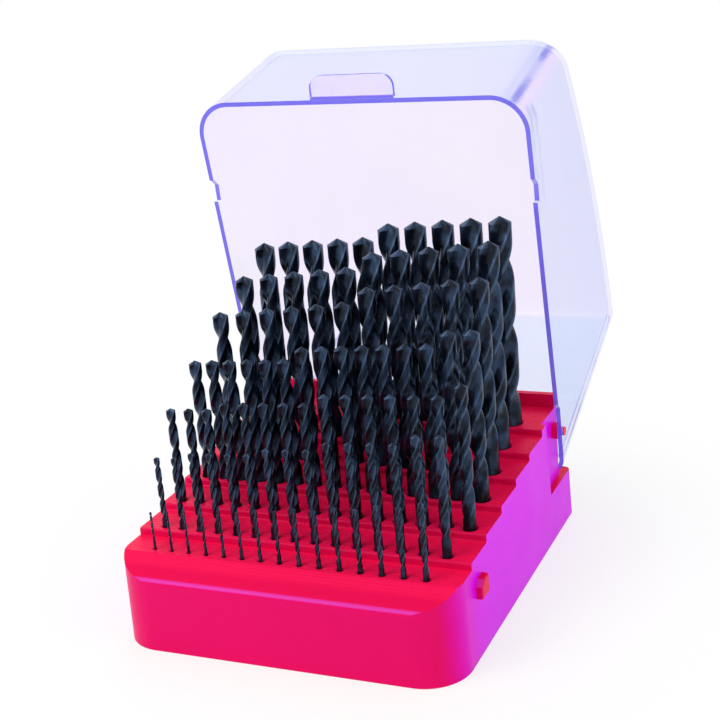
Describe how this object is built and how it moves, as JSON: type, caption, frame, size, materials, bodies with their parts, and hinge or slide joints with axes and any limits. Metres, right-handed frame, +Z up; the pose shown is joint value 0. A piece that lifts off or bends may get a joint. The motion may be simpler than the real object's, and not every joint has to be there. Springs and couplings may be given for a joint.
{
  "type": "drill bit case",
  "caption": "Stepped plastic case that holds twist drills upright in rows, with a clear hinged lid that snaps over side catches.",
  "frame": {"origin": "centre of the underside of the base", "axes": "+Z up, +X to the right along the rows of drills, +Y to the back where the lid is hinged"},
  "size_m": [0.152, 0.2607, 0.217],
  "materials": {
    "red_plastic": "gloss",
    "clear_plastic": "clear",
    "black_steel": "black oxide"
  },
  "bodies": {
    "base": {"socket_base": "red_plastic"},
    "lid": {"clear_lid": "clear_plastic"},
    "drills_1_0_to_1_4": {"drills_1_0_to_1_4": "black_steel"},
    "drills_1_5_to_1_9": {"drills_1_5_to_1_9": "black_steel"},
    "drills_2_0_to_2_4": {"drills_2_0_to_2_4": "black_steel"},
    "drills_2_5_to_2_9": {"drills_2_5_to_2_9": "black_steel"},
    "drills_3_0_to_3_4": {"drills_3_0_to_3_4": "black_steel"},
    "drills_3_5_to_3_9": {"drills_3_5_to_3_9": "black_steel"},
    "drills_4_0_to_4_4": {"drills_4_0_to_4_4": "black_steel"},
    "drills_4_5_to_4_9": {"drills_4_5_to_4_9": "black_steel"},
    "drills_5_0_to_5_4": {"drills_5_0_to_5_4": "black_steel"},
    "drills_5_5_to_5_9": {"drills_5_5_to_5_9": "black_steel"},
    "drills_6_0_to_6_4": {"drills_6_0_to_6_4": "black_steel"},
    "drills_6_5_to_6_9": {"drills_6_5_to_6_9": "black_steel"},
    "drill_7_0": {"drill_7_0": "black_steel"},
    "drill_7_1": {"drill_7_1": "black_steel"},
    "drill_7_2": {"drill_7_2": "black_steel"},
    "drill_7_3": {"drill_7_3": "black_steel"},
    "drill_7_4": {"drill_7_4": "black_steel"},
    "drill_7_5": {"drill_7_5": "black_steel"},
    "drill_7_6": {"drill_7_6": "black_steel"},
    "drill_7_7": {"drill_7_7": "black_steel"},
    "drill_7_8": {"drill_7_8": "black_steel"},
    "drill_7_9": {"drill_7_9": "black_steel"},
    "drill_8_0": {"drill_8_0": "black_steel"},
    "drill_8_1": {"drill_8_1": "black_steel"},
    "drill_8_2": {"drill_8_2": "black_steel"},
    "drill_8_3": {"drill_8_3": "black_steel"},
    "drill_8_4": {"drill_8_4": "black_steel"},
    "drill_8_5": {"drill_8_5": "black_steel"},
    "drill_8_6": {"drill_8_6": "black_steel"},
    "drill_8_7": {"drill_8_7": "black_steel"},
    "drill_8_8": {"drill_8_8": "black_steel"},
    "drill_8_9": {"drill_8_9": "black_steel"},
    "drill_9_0": {"drill_9_0": "black_steel"},
    "drill_9_1": {"drill_9_1": "black_steel"},
    "drill_9_2": {"drill_9_2": "black_steel"},
    "drill_9_3": {"drill_9_3": "black_steel"},
    "drill_9_4": {"drill_9_4": "black_steel"},
    "drill_9_5": {"drill_9_5": "black_steel"},
    "drill_9_6": {"drill_9_6": "black_steel"},
    "drill_9_7": {"drill_9_7": "black_steel"},
    "drill_9_8": {"drill_9_8": "black_steel"},
    "drill_9_9": {"drill_9_9": "black_steel"},
    "drill_10_0": {"drill_10_0": "black_steel"}
  },
  "joints": [
    {"name": "lid_hinge", "type": "hinge", "parent": "base", "child": "lid", "pos_m": [0, 0.068, 0.046], "axis": [-1, 0, 0], "range_deg": [-85.5, 0]},
    {"name": "drills_1_0_to_1_4_pull", "type": "slide", "parent": "base", "child": "drills_1_0_to_1_4", "axis": [0, 0, 1], "range_m": [0, 0.0207]},
    {"name": "drills_1_5_to_1_9_pull", "type": "slide", "parent": "base", "child": "drills_1_5_to_1_9", "axis": [0, 0, 1], "range_m": [0, 0.0226]},
    {"name": "drills_2_0_to_2_4_pull", "type": "slide", "parent": "base", "child": "drills_2_0_to_2_4", "axis": [0, 0, 1], "range_m": [0, 0.0258]},
    {"name": "drills_2_5_to_2_9_pull", "type": "slide", "parent": "base", "child": "drills_2_5_to_2_9", "axis": [0, 0, 1], "range_m": [0, 0.0277]},
    {"name": "drills_3_0_to_3_4_pull", "type": "slide", "parent": "base", "child": "drills_3_0_to_3_4", "axis": [0, 0, 1], "range_m": [0, 0.0273]},
    {"name": "drills_3_5_to_3_9_pull", "type": "slide", "parent": "base", "child": "drills_3_5_to_3_9", "axis": [0, 0, 1], "range_m": [0, 0.0267]},
    {"name": "drills_4_0_to_4_4_pull", "type": "slide", "parent": "base", "child": "drills_4_0_to_4_4", "axis": [0, 0, 1], "range_m": [0, 0.0346]},
    {"name": "drills_4_5_to_4_9_pull", "type": "slide", "parent": "base", "child": "drills_4_5_to_4_9", "axis": [0, 0, 1], "range_m": [0, 0.0343]},
    {"name": "drills_5_0_to_5_4_pull", "type": "slide", "parent": "base", "child": "drills_5_0_to_5_4", "axis": [0, 0, 1], "range_m": [0, 0.0334]},
    {"name": "drills_5_5_to_5_9_pull", "type": "slide", "parent": "base", "child": "drills_5_5_to_5_9", "axis": [0, 0, 1], "range_m": [0, 0.0407]},
    {"name": "drills_6_0_to_6_4_pull", "type": "slide", "parent": "base", "child": "drills_6_0_to_6_4", "axis": [0, 0, 1], "range_m": [0, 0.0401]},
    {"name": "drills_6_5_to_6_9_pull", "type": "slide", "parent": "base", "child": "drills_6_5_to_6_9", "axis": [0, 0, 1], "range_m": [0, 0.0383]},
    {"name": "drill_7_0_pull", "type": "slide", "parent": "base", "child": "drill_7_0", "axis": [0, 0, 1], "range_m": [0, 0.0443]},
    {"name": "drill_7_1_pull", "type": "slide", "parent": "base", "child": "drill_7_1", "axis": [0, 0, 1], "range_m": [0, 0.043]},
    {"name": "drill_7_2_pull", "type": "slide", "parent": "base", "child": "drill_7_2", "axis": [0, 0, 1], "range_m": [0, 0.0417]},
    {"name": "drill_7_3_pull", "type": "slide", "parent": "base", "child": "drill_7_3", "axis": [0, 0, 1], "range_m": [0, 0.0403]},
    {"name": "drill_7_4_pull", "type": "slide", "parent": "base", "child": "drill_7_4", "axis": [0, 0, 1], "range_m": [0, 0.039]},
    {"name": "drill_7_5_pull", "type": "slide", "parent": "base", "child": "drill_7_5", "axis": [0, 0, 1], "range_m": [0, 0.0377]},
    {"name": "drill_7_6_pull", "type": "slide", "parent": "base", "child": "drill_7_6", "axis": [0, 0, 1], "range_m": [0, 0.039]},
    {"name": "drill_7_7_pull", "type": "slide", "parent": "base", "child": "drill_7_7", "axis": [0, 0, 1], "range_m": [0, 0.0376]},
    {"name": "drill_7_8_pull", "type": "slide", "parent": "base", "child": "drill_7_8", "axis": [0, 0, 1], "range_m": [0, 0.0361]},
    {"name": "drill_7_9_pull", "type": "slide", "parent": "base", "child": "drill_7_9", "axis": [0, 0, 1], "range_m": [0, 0.0347]},
    {"name": "drill_8_0_pull", "type": "slide", "parent": "base", "child": "drill_8_0", "axis": [0, 0, 1], "range_m": [0, 0.0333]},
    {"name": "drill_8_1_pull", "type": "slide", "parent": "base", "child": "drill_8_1", "axis": [0, 0, 1], "range_m": [0, 0.0447]},
    {"name": "drill_8_2_pull", "type": "slide", "parent": "base", "child": "drill_8_2", "axis": [0, 0, 1], "range_m": [0, 0.0433]},
    {"name": "drill_8_3_pull", "type": "slide", "parent": "base", "child": "drill_8_3", "axis": [0, 0, 1], "range_m": [0, 0.042]},
    {"name": "drill_8_4_pull", "type": "slide", "parent": "base", "child": "drill_8_4", "axis": [0, 0, 1], "range_m": [0, 0.0406]},
    {"name": "drill_8_5_pull", "type": "slide", "parent": "base", "child": "drill_8_5", "axis": [0, 0, 1], "range_m": [0, 0.0393]},
    {"name": "drill_8_6_pull", "type": "slide", "parent": "base", "child": "drill_8_6", "axis": [0, 0, 1], "range_m": [0, 0.0405]},
    {"name": "drill_8_7_pull", "type": "slide", "parent": "base", "child": "drill_8_7", "axis": [0, 0, 1], "range_m": [0, 0.039]},
    {"name": "drill_8_8_pull", "type": "slide", "parent": "base", "child": "drill_8_8", "axis": [0, 0, 1], "range_m": [0, 0.0376]},
    {"name": "drill_8_9_pull", "type": "slide", "parent": "base", "child": "drill_8_9", "axis": [0, 0, 1], "range_m": [0, 0.0362]},
    {"name": "drill_9_0_pull", "type": "slide", "parent": "base", "child": "drill_9_0", "axis": [0, 0, 1], "range_m": [0, 0.0348]},
    {"name": "drill_9_1_pull", "type": "slide", "parent": "base", "child": "drill_9_1", "axis": [0, 0, 1], "range_m": [0, 0.0456]},
    {"name": "drill_9_2_pull", "type": "slide", "parent": "base", "child": "drill_9_2", "axis": [0, 0, 1], "range_m": [0, 0.0448]},
    {"name": "drill_9_3_pull", "type": "slide", "parent": "base", "child": "drill_9_3", "axis": [0, 0, 1], "range_m": [0, 0.0439]},
    {"name": "drill_9_4_pull", "type": "slide", "parent": "base", "child": "drill_9_4", "axis": [0, 0, 1], "range_m": [0, 0.043]},
    {"name": "drill_9_5_pull", "type": "slide", "parent": "base", "child": "drill_9_5", "axis": [0, 0, 1], "range_m": [0, 0.0422]},
    {"name": "drill_9_6_pull", "type": "slide", "parent": "base", "child": "drill_9_6", "axis": [0, 0, 1], "range_m": [0, 0.0439]},
    {"name": "drill_9_7_pull", "type": "slide", "parent": "base", "child": "drill_9_7", "axis": [0, 0, 1], "range_m": [0, 0.043]},
    {"name": "drill_9_8_pull", "type": "slide", "parent": "base", "child": "drill_9_8", "axis": [0, 0, 1], "range_m": [0, 0.0421]},
    {"name": "drill_9_9_pull", "type": "slide", "parent": "base", "child": "drill_9_9", "axis": [0, 0, 1], "range_m": [0, 0.0412]},
    {"name": "drill_10_0_pull", "type": "slide", "parent": "base", "child": "drill_10_0", "axis": [0, 0, 1], "range_m": [0, 0.0402]}
  ]
}
